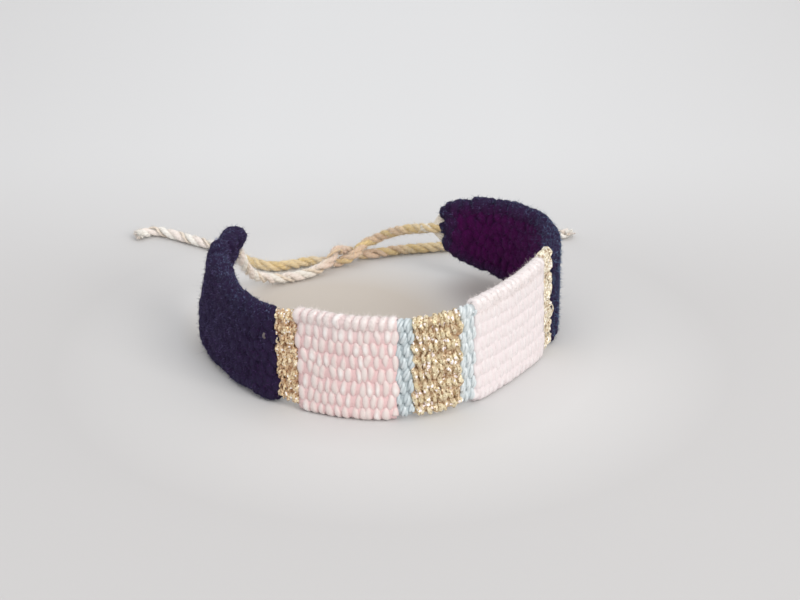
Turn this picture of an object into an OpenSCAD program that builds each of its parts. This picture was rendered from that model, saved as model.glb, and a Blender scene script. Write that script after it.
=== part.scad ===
// Woven bracelet: a tapestry band that stands on its edge, curled into a wrist loop, with a cord at each end.
// X runs to the right, Y away from the front of the band, and Z up from the surface that it stands on.

/* [Band] */
// Width of the band at the pink panels, where it is widest
band_w = 18; // [16:0.5:20]
// Thickness of the sections woven in cotton and metallic thread
cotton_t = 2.2; // [1.6:0.1:2.6]
// Thickness of the two navy ends, woven in wool
wool_t = 3.2; // [2.6:0.1:3.6]
// Gap between two neighbouring colour sections
gap = 0.15; // [0.1:0.05:0.3]

/* [Colour sections] */
// Length of the navy end on the left
navy_left_l = 39.4; // [36:0.2:41]
// Length of the narrow gold stripe on the left
gold_left_l = 3.6; // [3:0.2:5]
// Length of the pink panel on the left
pink_left_l = 15.8; // [12:0.2:18]
// Length of the light blue stripe left of the centre
blue_left_l = 2.5; // [2:0.1:4]
// Length of the gold block at the centre
gold_centre_l = 8.4; // [6:0.2:10]
// Length of the light blue stripe right of the centre
blue_right_l = 3; // [2:0.1:4]
// Length of the pink panel on the right
pink_right_l = 20.5; // [16:0.5:22]
// Length of the narrow gold stripe on the right
gold_right_l = 4; // [3:0.2:5]

/* [Cords] */
// Diameter of the twisted cord at each end of the band
cord_d = 1.9; // [1.4:0.1:2]

/* [Hidden] */
NODES = ["navy_end_left", "gold_stripe_left", "pink_panel_left", "blue_stripe_left", "gold_centre",
         "blue_stripe_right", "pink_panel_right", "gold_stripe_right", "navy_end_right",
         "tie_left", "tie_right"];

ring_step = 1.7;    // distance between two rings of a section's skin
selvage = 0.45;     // height of a rounded woven edge, as a share of the thickness
foot_flat = 0.14;   // how much of that height is pressed flat at the foot of the band
end_round = 1.4;    // length over which a free end of the band rounds off
end_share = 0.7;    // what is left of the width and thickness at the very end
cord_sides = 8;

// The band from above, one row about every 6.5 mm from its left end round the front to its right end.
// x and y are the middle of its lower edge, lift raises that edge off the surface where the end tapers,
// share is the part of the section's own width left there, lean tips its upper edge out of the loop,
// and swell multiplies its thickness.
X = 0;
Y = 1;
LIFT = 2;
SHARE = 3;
LEAN = 4;
SWELL = 5;
plan = [
    //  x,     y,  lift, share, lean, swell
    [-28.7,  11.9,  9.6,  0.52,  -30,  1.30],
    [-29.1,   8.1,  7.0,  0.66,  -21,  1.04],
    [-30.0,   3.3,  3.0,  0.86,  -11,  1.06],
    [-29.6,  -1.7,  0.6,  0.98,   -8,  1.06],
    [-27.7,  -6.9,    0,     1,   -7,  1.04],
    [-24.8, -12.1,    0,     1,   -1,     1],
    [-21.2, -17.3,    0,     1,    2,  0.95],
    [-16.7, -21.5,    0,     1,    3,     1],
    [-10.9, -24.9,    0,     1,    0,     1],
    [ -4.5, -27.2,    0,     1,    0,     1],
    [  2.1, -27.8,    0,     1,    0,     1],
    [  8.3, -26.6,    0,     1,   -1,     1],
    [ 13.7, -23.4,    0,     1,   -1,     1],
    [ 18.4, -18.5,    0,     1,   -1,     1],
    [ 22.7, -12.7,    0,     1,   -1,     1],
    [ 26.6,  -6.5,    0,     1,   -2,     1],
    [ 29.4,   0.9,    0,     1,   -1,  0.92],
    [ 29.9,   8.3,  0.2,     1,    0,  0.92],
    [ 27.9,  15.7,  0.8,  0.97,    1,  0.92],
    [ 23.5,  21.7,  1.6,  0.90,    1,  0.94],
    [ 17.7,  26.1,  2.8,  0.78,    0,  0.94],
    [ 11.7,  27.7,  5.2,  0.56,    0,  0.98]
];

// The colour sections in the order of the plan. Each yarn draws the weave in by its own amount, so they
// differ in foot, the height of the lower edge, and in width, which is a share of band_w.
// The last section takes what is left of the band's length.
LENGTH = 0;
FOOT = 1;
WIDTH = 2;
THICK = 3;
sections = [
    // length,       foot, width, thickness
    [navy_left_l,     0.1, 0.955, wool_t],
    [gold_left_l,     0.9, 0.900, cotton_t],
    [pink_left_l,       0, 0.985, cotton_t],
    [blue_left_l,     0.5, 0.935, cotton_t],
    [gold_centre_l,   0.5, 0.940, cotton_t],
    [blue_right_l,    0.8, 0.920, cotton_t],
    [pink_right_l,      0, 1.000, cotton_t],
    [gold_right_l,    0.6, 0.950, cotton_t],
    [undef,           0.1, 0.970, wool_t]
];

// Cord routes, end to end: out of the band's end, down to the surface, once round the other cord
// behind the loop, and on past the other end of the band
tie_left_route = [
    [-26.5, 12.1, 13.6], [-26.3, 13.7, 13.0], [-25.5, 15.0, 11.2], [-24.9, 16.4, 8.8], [-24.3, 18.3, 6.2],
    [-22.9, 21.1, 3.4], [-20.5, 23.7, 1.7], [-17.5, 25.3, 1.1], [-13.5, 27.4, 1.1], [-10.1, 30.0, 1.9],
    [-8.5, 32.4, 3.3], [-6.8, 35.2, 2.2], [-3.8, 36.1, 1.1], [-0.9, 36.6, 1.1], [3.5, 38.4, 1.0],
    [11.5, 39.9, 1.0], [19.5, 41.5, 1.0], [27.5, 44.1, 1.0], [36.3, 46.5, 1.0]
];
tie_right_route = [
    [11.4, 27.7, 10.2], [9.6, 28.3, 9.8], [7.2, 30.0, 9.0], [3.7, 32.4, 7.6], [0.9, 34.9, 5.7],
    [-1.5, 36.0, 4.1], [-3.6, 35.2, 3.4], [-5.2, 33.1, 2.2], [-8.0, 32.6, 1.1], [-11.0, 32.5, 1.1],
    [-13.5, 33.0, 1.0], [-16.9, 31.5, 1.0], [-20.5, 30.7, 1.0], [-24.5, 32.7, 1.0], [-28.5, 36.7, 1.0],
    [-32.5, 40.5, 1.0], [-36.5, 43.1, 1.0], [-41.1, 46.1, 1.0], [-44.5, 47.5, 1.0], [-47.7, 45.7, 1.0]
];

// A smooth curve through a list of rows: the rows past each end carry on in a straight line
function row(rows, i) =
    i < 0 ? 2 * rows[0] - rows[1]
    : i >= len(rows) ? 2 * rows[len(rows) - 1] - rows[len(rows) - 2]
    : rows[i];
function blend(a, b, c, d, t) =
    (2 * b + (c - a) * t + (2 * a - 5 * b + 4 * c - d) * t * t + (3 * (b - c) + d - a) * t * t * t) / 2;
function along(rows, u) =
    let (i = min(floor(u), len(rows) - 2))
    blend(row(rows, i - 1), row(rows, i), row(rows, i + 1), row(rows, i + 2), u - i);

// The distance walked along the band, against the place in the plan table
fine = 12;
spots = [for (i = [0 : (len(plan) - 1) * fine]) along(plan, i / fine)];
function step_l(i) = norm([spots[i][X] - spots[i - 1][X], spots[i][Y] - spots[i - 1][Y]]);
walked = [for (i = 0, s = 0; i < len(spots); i = i + 1, s = s + (i < len(spots) ? step_l(i) : 0)) [s, i / fine]];
band_l = walked[len(walked) - 1][0];
function place(s) = along(plan, lookup(s, walked));
function heading(s) =
    let (a = place(max(s - 0.5, 0)), b = place(min(s + 0.5, band_l)))
    atan2(b[Y] - a[Y], b[X] - a[X]);

// Where a section starts and ends along the band, halfway into the gap on each side
function start(i) = i == 0 ? 0 : start(i - 1) + sections[i - 1][LENGTH];
function first_s(i) = i == 0 ? 0 : start(i) + gap / 2;
function last_s(i) = i == len(sections) - 1 ? band_l : start(i + 1) - gap / 2;

// A free end of the band rounds off like a quarter circle, down to end_share of its size
function end_size(s) =
    let (inward = min(1, min(s, band_l - s) / end_round))
    sqrt(1 - (1 - pow(end_share, 2)) * pow(1 - inward, 2));

// Outline of the band across its width: two rounded edges, the lower one pressed flat at its very foot
function outline(w, t) =
    let (r = selvage * t)
    [for (a = [0 : 30 : 180]) [t / 2 * cos(a), w - r + r * sin(a)],
     for (a = [180 : 30 : 360]) [t / 2 * cos(a), r * max(0, 1 + sin(a) - foot_flat)]];

// One ring of a section's skin, square to the band's run, its height tipped by the lean
function ring(section, s) =
    let (at = place(s), turn = heading(s), size = end_size(s),
         full_w = section[WIDTH] * band_w * at[SHARE],
         w = full_w * size,
         t = section[THICK] * at[SWELL] * size,
         foot = section[FOOT] + max(0, at[LIFT]))
    [for (p = outline(w, t))
        let (up = p.y + (full_w - w) / 2, out = p.x + up * sin(at[LEAN]))
        [at[X] + out * sin(turn), at[Y] - out * cos(turn), foot + up * cos(at[LEAN])]];

// A closed skin over a row of rings, all with the same number of points
module skin(rings) {
    n = len(rings[0]);
    last = (len(rings) - 1) * n;
    polyhedron(
        points = [for (r = rings) each r],
        faces = [
            [for (j = [0 : n - 1]) j],
            [for (j = [n - 1 : -1 : 0]) last + j],
            for (i = [0 : len(rings) - 2], j = [0 : n - 1])
                let (a = i * n + j, b = i * n + (j + 1) % n)
                each [[a, a + n, b], [b, a + n, b + n]]
        ],
        convexity = 6);
}

// One colour section of the band, with closer rings where a free end rounds off
module woven(name) {
    i = search([name], NODES)[0];
    s0 = first_s(i);
    s1 = last_s(i);
    count = ceil((s1 - s0) / ring_step);
    rounding = [0.15 * end_round, 0.5 * end_round];
    stops = [
        s0,
        if (s0 == 0) each rounding,
        for (k = [1 : count - 1]) s0 + (s1 - s0) * k / count,
        if (s1 == band_l) each [s1 - rounding[1], s1 - rounding[0]],
        s1
    ];
    skin([for (s = stops) ring(sections[i], s)]);
}

// A cord swept along its route, with a ring at each point of the route and one between
module cord(route) {
    count = 2 * (len(route) - 1);
    line = [for (i = [0 : count]) along(route, i / 2)];
    skin([for (i = [0 : count])
        let (ahead = line[min(i + 1, count)] - line[max(i - 1, 0)],
             side = cross(ahead, [0, 0, 1]) / norm(cross(ahead, [0, 0, 1])),
             up = cross(side, ahead) / norm(ahead))
        [for (k = [0 : cord_sides - 1])
            let (a = 360 * k / cord_sides)
            line[i] + cord_d / 2 * (cos(a) * side + sin(a) * up)]]);
}

module navy_end_left() {
    color("midnightblue") woven("navy_end_left");
}

module gold_stripe_left() {
    color("goldenrod") woven("gold_stripe_left");
}

module pink_panel_left() {
    color("mistyrose") woven("pink_panel_left");
}

module blue_stripe_left() {
    color("lightblue") woven("blue_stripe_left");
}

module gold_centre() {
    color("goldenrod") woven("gold_centre");
}

module blue_stripe_right() {
    color("lightblue") woven("blue_stripe_right");
}

module pink_panel_right() {
    color("mistyrose") woven("pink_panel_right");
}

module gold_stripe_right() {
    color("goldenrod") woven("gold_stripe_right");
}

module navy_end_right() {
    color("midnightblue") woven("navy_end_right");
}

module tie_left() {
    color("wheat") cord(tie_left_route);
}

module tie_right() {
    color("tan") cord(tie_right_route);
}

navy_end_left();
gold_stripe_left();
pink_panel_left();
blue_stripe_left();
gold_centre();
blue_stripe_right();
pink_panel_right();
gold_stripe_right();
navy_end_right();
tie_left();
tie_right();
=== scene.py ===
import math

import bpy
import numpy as np
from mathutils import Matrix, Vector


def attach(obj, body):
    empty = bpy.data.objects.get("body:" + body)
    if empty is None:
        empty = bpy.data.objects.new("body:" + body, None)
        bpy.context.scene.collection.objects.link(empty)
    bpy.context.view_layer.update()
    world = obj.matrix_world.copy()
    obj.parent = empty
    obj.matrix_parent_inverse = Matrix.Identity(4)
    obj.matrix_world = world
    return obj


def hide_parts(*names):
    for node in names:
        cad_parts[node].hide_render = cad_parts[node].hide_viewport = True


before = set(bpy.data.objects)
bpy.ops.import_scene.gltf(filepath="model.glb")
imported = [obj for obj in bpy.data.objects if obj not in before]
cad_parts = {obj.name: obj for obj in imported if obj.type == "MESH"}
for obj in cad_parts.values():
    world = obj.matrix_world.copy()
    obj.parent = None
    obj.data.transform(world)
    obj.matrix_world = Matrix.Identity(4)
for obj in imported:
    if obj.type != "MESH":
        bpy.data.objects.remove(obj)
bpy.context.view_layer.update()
print("frame loaded with", len(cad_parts), "nodes")

mm = 0.001  # tables below are in millimetres, the scene in metres

# Camera

cameraView = dict(
    lens=90, sensor=36,  # in mm
    pitch=math.radians(25),  # below the horizon
    distance=0.343,
    target=(0.0035, -0.0015, 0.009),
    clip=(0.01, 10),
)
pitch = cameraView["pitch"]
aim = Vector((0, math.cos(pitch), -math.sin(pitch)))
stand = Vector(cameraView["target"]) - aim * cameraView["distance"]
bpy.ops.object.select_all(action="DESELECT")
bpy.ops.object.camera_add(location=stand, rotation=(math.pi / 2 - pitch, 0, 0))
camera = bpy.context.object
camera.data.lens = cameraView["lens"]
camera.data.sensor_width = cameraView["sensor"]
camera.data.clip_start, camera.data.clip_end = cameraView["clip"]
bpy.context.scene.camera = camera
print("camera set")

# Smooth curves, as the part draws them


def along(rows, u):
    longer = np.concatenate([2 * rows[:1] - rows[1:2], rows, 2 * rows[-1:] - rows[-2:-1]])
    u = np.asarray(u, float)
    i = np.minimum(np.floor(u).astype(int), len(rows) - 2)
    a, b, c, d = (longer[i + k] for k in range(4))
    t = (u - i)[..., None]
    return (2 * b + (c - a) * t + (2 * a - 5 * b + 4 * c - d) * t**2 + (3 * (b - c) + d - a) * t**3) / 2


def unit(v):
    tiny = 1e-12  # so that nothing is divided by zero
    return v / np.maximum(np.linalg.norm(v, axis=-1, keepdims=True), tiny)


def smooth(x):
    x = np.clip(x, 0, 1)
    return x * x * (3 - 2 * x)


# How far along a path each of its points is
def walk(points):
    return np.concatenate([[0], np.cumsum(np.linalg.norm(np.diff(points, axis=0), axis=1))])


# Directions along a path, across it and square to both
def axes(points, across):
    ahead = unit(np.gradient(points, axis=0))
    side = unit(across - np.sum(across * ahead, axis=1, keepdims=True) * ahead)
    return ahead, side, np.cross(ahead, side)


def upright(count):
    return np.repeat([[0, 0, 1.0]], count, 0)


# Points out of each quad, the further the larger the quad is
def quadOut(corners):
    return np.cross(corners[:, 2] - corners[:, 0], corners[:, 3] - corners[:, 1])


def newMesh(name, points, faces, rounded=True):
    mesh = bpy.data.meshes.new(name)
    mesh.from_pydata((points * mm).tolist(), [], faces)
    mesh.polygons.foreach_set("use_smooth", np.full(len(mesh.polygons), rounded))
    return mesh


def addField(mesh, title, values):
    field = mesh.attributes.new(title, "FLOAT", "POINT")
    field.data.foreach_set("value", values.astype(np.float32))


def addPiece(name, mesh):
    piece = bpy.data.objects.new(name, mesh)
    bpy.context.scene.collection.objects.link(piece)
    return piece


# Yarn meshes: rings swept along a path, many yarns to a mesh

yarnRoundness = 0.85  # under 1, a yarn is slightly squarer than an ellipse
yarnUnit = 10  # one unit of u is this much yarn


class YarnMesh:
    def __init__(self, sides):
        self.sides = sides
        self.count = 0
        self.points, self.quads, self.caps, self.uv, self.core, self.across = ([] for _ in range(6))
        self.fields = {"crest": [], "tone": [], "rim": []}

    # wide and thick are half sizes along across and square to it. crest is 0 where the yarn dives into the
    # weave and 1 on top, and tone tells yarns' colours apart. core is the cloth's middle there, as faces
    # that look away from it carry fuzz, and rim how far off its free edge is.
    def lay(self, points, across, wide, thick, crest, tone, lobes=0, depth=0, pitch=1, core=None, rim=0):
        n = len(points)
        k = self.sides
        ahead, side, up = axes(points, across)
        run = walk(points)
        turn = 2 * np.pi * np.arange(k) / k
        lobe = 1 + depth * (np.abs(np.cos(lobes / 2 * turn[None] + np.pi * run[:, None] / pitch)) - 0.5)
        arch = np.sign(np.sin(turn)) * np.abs(np.sin(turn)) ** yarnRoundness
        wide = np.broadcast_to(wide, n)[:, None] * lobe * np.cos(turn)[None]
        thick = np.broadcast_to(thick, n)[:, None] * lobe * arch
        rings = points[:, None] + wide[..., None] * side[:, None] + thick[..., None] * up[:, None]
        i = np.arange(n - 1)[:, None] * k + self.count
        j = np.arange(k)[None]
        after = (j + 1) % k
        quads = np.stack([i + j, i + after, i + k + after, i + k + j], -1).reshape(-1, 4)
        u = run / yarnUnit
        uv = np.stack([np.stack(np.broadcast_arrays(u[a : n - 1 + a, None], (j + b) / k), -1)
                       for a, b in ((0, 0), (0, 1), (1, 1), (1, 0))], 2)
        self.points.append(rings.reshape(-1, 3))
        self.quads.append(quads)
        self.uv.append(uv.reshape(-1, 2))
        self.caps.append([self.count + m for m in range(k - 1, -1, -1)])
        self.caps.append([self.count + (n - 1) * k + m for m in range(k)])
        for values, value in zip(self.fields.values(), (crest, tone, rim)):
            values.append(np.repeat(np.broadcast_to(value, n), k))
        self.core.append(np.repeat(points if core is None else core, k, 0))
        self.across.append(np.repeat(ahead if core is None else unit(across), k, 0))
        self.count += n * k

    def build(self, name, rounded=True):
        points = np.concatenate(self.points)
        quads = np.concatenate(self.quads)
        mesh = newMesh(name, points, quads.tolist() + self.caps, rounded)
        layer = mesh.uv_layers.new(name="yarn")
        uv = np.zeros((len(mesh.loops), 2), np.float32)
        uv[: len(quads) * 4] = np.concatenate(self.uv)
        layer.data.foreach_set("uv", uv.ravel())
        for title, values in self.fields.items():
            addField(mesh, title, np.concatenate(values))
        mesh.validate()
        self.quadCorners = points[quads]
        self.quadCrest, self.quadTone, self.quadRim, core, across = (
            np.concatenate(values)[quads].mean(1)
            for values in (*self.fields.values(), self.core, self.across))
        across = unit(across)
        away = self.quadCorners.mean(1) - core
        away = away - across * np.sum(away * across, axis=1, keepdims=True)
        normal = unit(quadOut(self.quadCorners))
        self.quadAway = np.sum(normal * away, axis=1)  # how far the face stands out of the cloth
        return addPiece(name, mesh)


# Cords: the ties' routes are those of the part, from the band's end to the loose end

tieRoutes = {
    "left": [
        (-26.5, 12.1, 13.6), (-26.3, 13.7, 13.0), (-25.5, 15.0, 11.2), (-24.9, 16.4, 8.8),
        (-24.3, 18.3, 6.2), (-22.9, 21.1, 3.4), (-20.5, 23.7, 1.7), (-17.5, 25.3, 1.1),
        (-13.5, 27.4, 1.1), (-10.1, 30.0, 1.9), (-8.5, 32.4, 3.3), (-6.8, 35.2, 2.2),
        (-3.8, 36.1, 1.1), (-0.9, 36.6, 1.1), (3.5, 38.4, 1.0), (11.5, 39.9, 1.0),
        (19.5, 41.5, 1.0), (27.5, 44.1, 1.0), (36.3, 46.5, 1.0),
    ],
    "right": [
        (11.4, 27.7, 10.2), (9.6, 28.3, 9.8), (7.2, 30.0, 9.0), (3.7, 32.4, 7.6), (0.9, 34.9, 5.7),
        (-1.5, 36.0, 4.1), (-3.6, 35.2, 3.4), (-5.2, 33.1, 2.2), (-8.0, 32.6, 1.1), (-11.0, 32.5, 1.1),
        (-13.5, 33.0, 1.0), (-16.9, 31.5, 1.0), (-20.5, 30.7, 1.0), (-24.5, 32.7, 1.0), (-28.5, 36.7, 1.0),
        (-32.5, 40.5, 1.0), (-36.5, 43.1, 1.0), (-41.1, 46.1, 1.0), (-44.5, 47.5, 1.0), (-47.7, 45.7, 1.0),
    ],
}
tieCord = dict(
    diameter=1.9,
    step=0.35,  # between two rings
    lay=6.0,  # length of one full twist
    cream=0.55,  # radius of a cream strand, and how much of it goes where the gold is thick
    creamLoss=0.07,
    gold=0.22,  # radius of the gold strand, and how much it gains
    goldGain=0.34,
    uneven=0.12,
    unevenStep=1.5,  # distance between two changes of thickness
    stray=0.3,  # how far a strand strays round the cord, in radians
    plies=dict(lobes=3, depth=0.18, pitch=1.1),
    finer=40,  # points on the smooth line for each one of the route
    pathStep=6,  # rings between two points of the path that the cord declares
)
# How much gold shows, against the distance from the band's end
tieGold = {
    "left": [(0, 0.05), (26, 0.1), (38, 0.4), (46, 1.0), (70, 0.9), (75, 0.0), (82, 0.0)],
    "right": [(0, 1.0), (20, 1.0), (26, 0.7), (34, 1.0), (42, 1.0), (50, 0.35), (54, 0.0), (72, 0.0)],
}


def evenSteps(points, step):
    run = walk(points)
    stops = np.linspace(0, run[-1], int(run[-1] / step) + 1)
    return np.stack([np.interp(stops, run, points[:, k]) for k in range(3)], 1), run[-1]


# Carries one across-direction down a path without twisting it
def carried(points, first):
    ahead = unit(np.gradient(points, axis=0))
    side = np.zeros_like(points)
    hand = np.array(first, float)
    for i, way in enumerate(ahead):
        hand = hand - way * hand.dot(way)
        hand = hand / np.linalg.norm(hand)
        side[i] = hand
    return ahead, side


def twistedCord(name, route, kit, gold, seed):
    rng = np.random.default_rng(seed)
    route = np.array(route)
    fine = along(route, np.linspace(0, len(route) - 1, kit["finer"] * len(route)))
    line, length = evenSteps(fine, kit["step"])
    ahead, side = carried(line, (0, 0, 1))
    up = np.cross(ahead, side)
    run = np.linspace(0, length, len(line))
    golden = np.interp(run, *np.array(gold).T)
    knots = np.arange(0, length + 2 * kit["unevenStep"], kit["unevenStep"])
    mesh = YarnMesh(10)
    for strand, kind in enumerate(("cream", "blush", "gold")):
        wobble = np.interp(run, knots, rng.normal(0, 1, len(knots)))
        if kind == "gold":
            radius = kit["gold"] + kit["goldGain"] * golden
        else:
            radius = kit["cream"] - kit["creamLoss"] * golden
        radius = radius * (1 + kit["uneven"] * wobble)
        angle = 2 * np.pi * (run / kit["lay"] + strand / 3) + kit["stray"] * wobble
        out = kit["diameter"] / 2 - radius
        points = line + out[:, None] * (np.cos(angle)[:, None] * side + np.sin(angle)[:, None] * up)
        mesh.lay(points, side, radius, radius, golden, strand, **kit["plies"])
    return mesh.build(name), line, length, mesh


# The loose end of a cord comes apart into thin strands
tieTuft = dict(
    strands=16, length=(1.0, 1.7), radius=(0.24, 0.34),
    offset=0.35, spread=0.24, curl=0.4,
    rings=7, gold=0.05, lowest=0.2,
)


def frayedEnd(name, line, kit, seed):
    rng = np.random.default_rng(seed)
    mesh = YarnMesh(6)
    ahead = unit(line[-1] - line[-4])
    t = np.linspace(0, 1, kit["rings"])[:, None]
    for k in range(kit["strands"]):
        way = unit(ahead + rng.normal(0, kit["spread"], 3))
        length = rng.uniform(*kit["length"])
        start = line[-1] + rng.normal(0, kit["offset"], 3) - ahead
        points = start + length * (way * t + rng.normal(0, kit["curl"], 3) * t * t * 0.5)
        points[:, 2] = np.maximum(points[:, 2], kit["lowest"])
        radius = rng.uniform(*kit["radius"]) * (1 - 0.5 * t[:, 0])
        tone = float(rng.integers(0, 2))
        mesh.lay(points, upright(kit["rings"]), radius, radius, kit["gold"], tone)
    return mesh.build(name), mesh


tiePieces = {}
for side, seed in (("left", 4), ("right", 9)):
    tiePieces[side] = twistedCord("tie_cord_" + side, tieRoutes[side], tieCord, tieGold[side], seed)
    print("tie", side, "laid,", round(tiePieces[side][2], 1), "mm long")

# The band's plan and colour sections, as in the part

# x, y, lift of the foot, share of the full width, lean in degrees and share of the thickness, in columns
bandPlan = np.array([
    (-28.7, 11.9, 9.6, 0.52, -30, 1.30), (-29.1, 8.1, 7.0, 0.66, -21, 1.04),
    (-30.0, 3.3, 3.0, 0.86, -11, 1.06), (-29.6, -1.7, 0.6, 0.98, -8, 1.06),
    (-27.7, -6.9, 0, 1, -7, 1.04), (-24.8, -12.1, 0, 1, -1, 1),
    (-21.2, -17.3, 0, 1, 2, 0.95), (-16.7, -21.5, 0, 1, 3, 1),
    (-10.9, -24.9, 0, 1, 0, 1), (-4.5, -27.2, 0, 1, 0, 1),
    (2.1, -27.8, 0, 1, 0, 1), (8.3, -26.6, 0, 1, -1, 1),
    (13.7, -23.4, 0, 1, -1, 1), (18.4, -18.5, 0, 1, -1, 1),
    (22.7, -12.7, 0, 1, -1, 1), (26.6, -6.5, 0, 1, -2, 1),
    (29.4, 0.9, 0, 1, -1, 0.92), (29.9, 8.3, 0.2, 1, 0, 0.92),
    (27.9, 15.7, 0.8, 0.97, 1, 0.92), (23.5, 21.7, 1.6, 0.90, 1, 0.94),
    (17.7, 26.1, 2.8, 0.78, 0, 0.94), (11.7, 27.7, 5.2, 0.56, 0, 0.98),
])
liftAt, shareAt, leanAt, thickAt = 2, 3, 4, 5
band = dict(
    width=18,
    cotton=2.2,  # thickness of the cotton and metallic sections
    wool=3.2,
    endRound=1.4,  # length over which a free end rounds off
    endShare=0.7,
    meeting=2.5,  # length over which the wool thins down to the cotton
    warps=8,
)
fineCount = 12
fineRows = along(bandPlan, np.arange((len(bandPlan) - 1) * fineCount + 1) / fineCount)
walked = walk(fineRows[:, :2])
bandLength = walked[-1]

# Length, foot and share of the width are near the part's, and yarn gives the thickness. slant is how far
# the picks lean where the section starts, lean how far each grain does, and pale how far its hollows are
# lightened, a painted light on the sections that face the lamp.
sectionKeys = ("name", "length", "foot", "wide", "yarn", "slant", "lean", "pale")
sections = [dict(zip(sectionKeys, values)) for values in (
    ("navy_end_left", 38.5, 0.1, 0.985, "wool", 0, 0.1, 0),
    ("gold_stripe_left", 4.2, 0.9, 0.935, "cotton", -0.08, -0.1, 0),
    ("pink_panel_left", 16.1, 0, 1.018, "cotton", 0.48, 0.03, 0),
    ("blue_stripe_left", 2.5, 0.5, 0.970, "cotton", 0, -0.06, 0),
    ("gold_centre", 8.4, 0.5, 0.975, "cotton", 0, -0.24, 0),
    ("blue_stripe_right", 3.0, 0.8, 0.960, "cotton", 0, -0.06, 0.5),
    ("pink_panel_right", 21.0, 0, 1.035, "cotton", 0, -0.06, 0.6),
    ("gold_stripe_right", 4.6, 0.6, 1.020, "cotton", 0, 0.1, 0.4),
    ("navy_end_right", None, 0.1, 0.990, "wool", 0, 0, 0),
)]
starts = [0]
for section in sections[:-1]:
    starts.append(starts[-1] + section["length"])
starts.append(bandLength)


def place(s):
    return along(bandPlan, np.interp(s, walked, np.arange(len(walked)) / fineCount))


def heading(s):
    near = 0.5
    a, b = place(np.maximum(s - near, 0)), place(np.minimum(s + near, bandLength))
    return np.arctan2(b[..., 1] - a[..., 1], b[..., 0] - a[..., 0])


def roundedOff(inward, endShare):
    return np.sqrt(1 - (1 - endShare**2) * (1 - np.clip(inward, 0, 1)) ** 2)


def endSize(s):
    return roundedOff(np.minimum(s, bandLength - s) / band["endRound"], band["endShare"])


# The wool at the left end is rolled into a fuller, narrower tip. Each change has its amount, how far from
# the end it begins, and the length over which it grows.
leftTip = dict(
    fuller=(0.30, 13, 9),
    narrower=(0.36, 8, 6),
    shifted=(0.3, 13, 9),
    endRound=2.4, endShare=0.45,
)


def tipChange(s, change):
    amount, begins, length = leftTip[change]
    return amount * smooth((begins - s) / length)


def tipRoll(s):
    rounding = roundedOff(s / leftTip["endRound"], leftTip["endShare"])
    return (1 + tipChange(s, "fuller")) * np.where(s < leftTip["endRound"], rounding / endSize(s), 1)


# Width, thickness and foot height of a section at a distance s along the band. The wool thins down to
# the cotton where the two meet.
def sizeAt(section, s):
    at = place(s)
    full = section["wide"] * band["width"] * at[..., shareAt]
    size = endSize(s)
    thick = band[section["yarn"]]
    if section["yarn"] == "wool":
        meeting = np.minimum(np.abs(s - starts[1]), np.abs(s - starts[-2]))
        thick = band["cotton"] + (thick - band["cotton"]) * smooth(meeting / band["meeting"])
        thick = thick * tipRoll(s)
    trim = full * tipChange(s, "narrower")
    full = full - trim
    return full * size, thick * at[..., thickAt] * size, trim + (full - full * size) / 2


# A place in the weave: s along the band, h up from the section's lower edge, out from its middle
def inBand(section, s, h, out):
    at, turn = place(s), heading(s)
    lean = np.radians(at[..., leanAt])
    up = h + sizeAt(section, s)[2]
    shift = out + up * np.sin(lean) + tipChange(s, "shifted")
    foot = section["foot"] + np.maximum(0, at[..., liftAt])
    return np.stack([at[..., 0] + shift * np.sin(turn), at[..., 1] - shift * np.cos(turn),
                     foot + up * np.cos(lean)], -1)


def lengthwise(s):
    turn = heading(s)
    return np.stack([np.cos(turn), np.sin(turn), np.zeros_like(turn)], -1)


# Weft: one yarn a section, up and down across the warps, over one and under the next

cottonWeft = dict(
    pick=0.66,  # distance between two passes of the yarn
    crestWide=0.66, diveWide=0.46,  # half widths where it lies over a warp and where it dives
    crestThick=0.38, diveThick=0.80,  # half thicknesses there, as shares of the cloth's own
    core=(1.7, 0.85),  # half height and share of half thickness of the filling behind each row
    uneven=0.12,
    drift=0.22,  # how far rows and picks wander
    stagger=0.15,  # how far a pick's crests move from their rows
    notch=0,  # how deep the two edges are notched
    inset=-0.3,  # how far it keeps from the next section
    samples=10,  # rings from one warp to the next
    sides=12,
    strands=1,
    lobes=3, depth=0.08, lay=1.6,
    rowPitch=2.2,
)
paleWeft = dict(cottonWeft, crestThick=0.34, diveThick=0.88, core=(2.4, 0.94), stagger=0.08)
goldWeft = dict(cottonWeft, pick=0.52, crestWide=0.42, diveWide=0.34, crestThick=0.46, diveThick=0.74,
                stagger=0.1, core=(1.0, 0.62), uneven=0.22, drift=0.3, inset=0, sides=8, lobes=2, depth=0.35,
                lay=1.3)
foilWeft = dict(goldWeft, pick=0.40, inset=0.5, crumple=0.24, uneven=0.4, strands=2, sides=6, lobes=0,
                lay=0.8)
blueWeft = dict(cottonWeft, stagger=0.05, crestWide=0.60, diveWide=0.48, crestThick=0.44, diveThick=0.66,
                core=(1.2, 0.70), strands=3, crumple=0.05, sides=8, lobes=0, lay=1.3)
woolWeft = dict(cottonWeft, notch=0.3, pick=0.74, crestWide=1.15, diveWide=1.0, crestThick=0.50,
                core=(0.95, 0.80), uneven=0.16, drift=0.35, stagger=0.12, inset=-0.2, samples=6, sides=8,
                lobes=2, depth=0.14, lay=2.2, rowPitch=2.0)
endPitch = 3.1  # the rows are this far apart at the tapered ends
endTaper = 0.45  # share of the width that is gone there
firstPick, lastPick = 0.25, bandLength - 0.9
# How strongly each kind of unevenness acts, and how far yarn keeps off the ground
weaving = dict(
    shift=0.5, lean=0.7, leanSharp=0.3, sink=0.3, rise=0.5,
    turnThin=0.12, turnRings=5,
    flat=0.25,  # how flat the waves are on top
    fieldStep=2,  # distance between two places of the random drift
    calm=1.5,  # the drift fades out over this distance at a section's ends
    lowest=0.45,
)
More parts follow.
